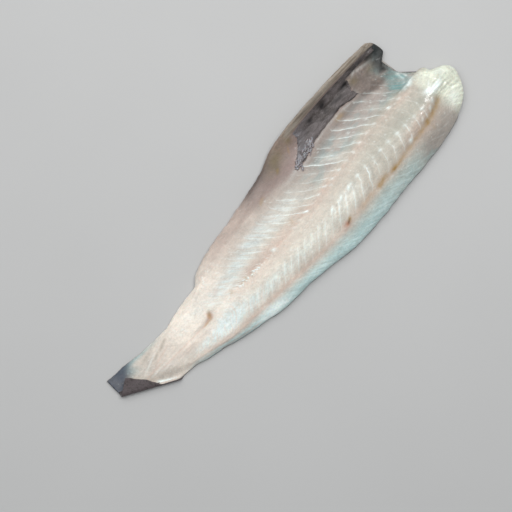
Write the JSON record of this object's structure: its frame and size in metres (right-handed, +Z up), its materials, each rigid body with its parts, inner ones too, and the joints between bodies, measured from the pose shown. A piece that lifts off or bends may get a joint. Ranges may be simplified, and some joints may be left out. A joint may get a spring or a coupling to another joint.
{
  "type": "salted dried cod side",
  "caption": "Boned side of soaked salted dried cod lying skin down, with raked flakes, a curled belly flap with dark lining and a folded tail corner.",
  "frame": {"origin": "centre of the bounding box's bottom face, on the surface that the skin rests on", "axes": "+X from the tail to the head end along the side, +Y across from the back edge to the belly flap, +Z up from the skin to the flesh face"},
  "size_m": [0.5256, 0.155, 0.0287],
  "materials": {
    "flesh": "moist cream to pinkish beige fish flesh with bluish white sheets between the flakes",
    "skin": "moist speckled grey brown fish skin",
    "belly_lining": "moist thin dark mottled membrane"
  },
  "bodies": {
    "root": {"flesh": "flesh", "skin": "skin", "belly_lining": "belly_lining"}
  },
  "joints": []
}
